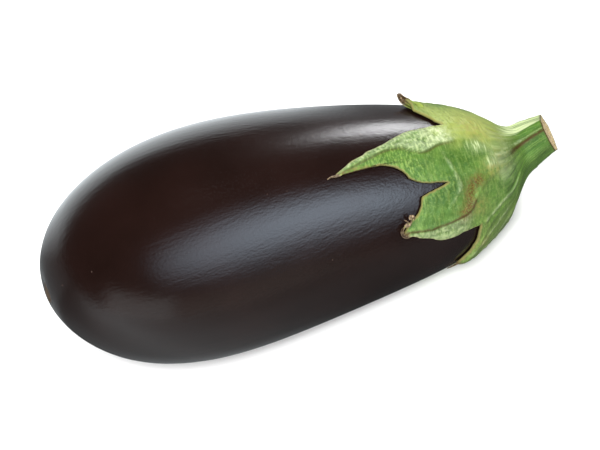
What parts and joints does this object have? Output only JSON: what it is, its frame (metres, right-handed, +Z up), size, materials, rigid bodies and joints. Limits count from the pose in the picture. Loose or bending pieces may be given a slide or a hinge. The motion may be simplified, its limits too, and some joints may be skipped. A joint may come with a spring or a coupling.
{
  "type": "eggplant",
  "caption": "Glossy dark eggplant lying on its side, a long egg-shaped fruit with a pointed green calyx and a short cut stalk; a vegetable to cook or display.",
  "frame": {"origin": "middle of the eggplant's footprint, on the surface it lies on", "axes": "+X along the fruit towards its stalk, +Z up as it lies, +Y to its far side"},
  "size_m": [0.206, 0.0876, 0.0882],
  "materials": {
    "fruit_skin": "gloss",
    "green_calyx": "satin"
  },
  "bodies": {
    "root": {"fruit": "fruit_skin", "calyx_and_stalk": "green_calyx"}
  },
  "joints": []
}
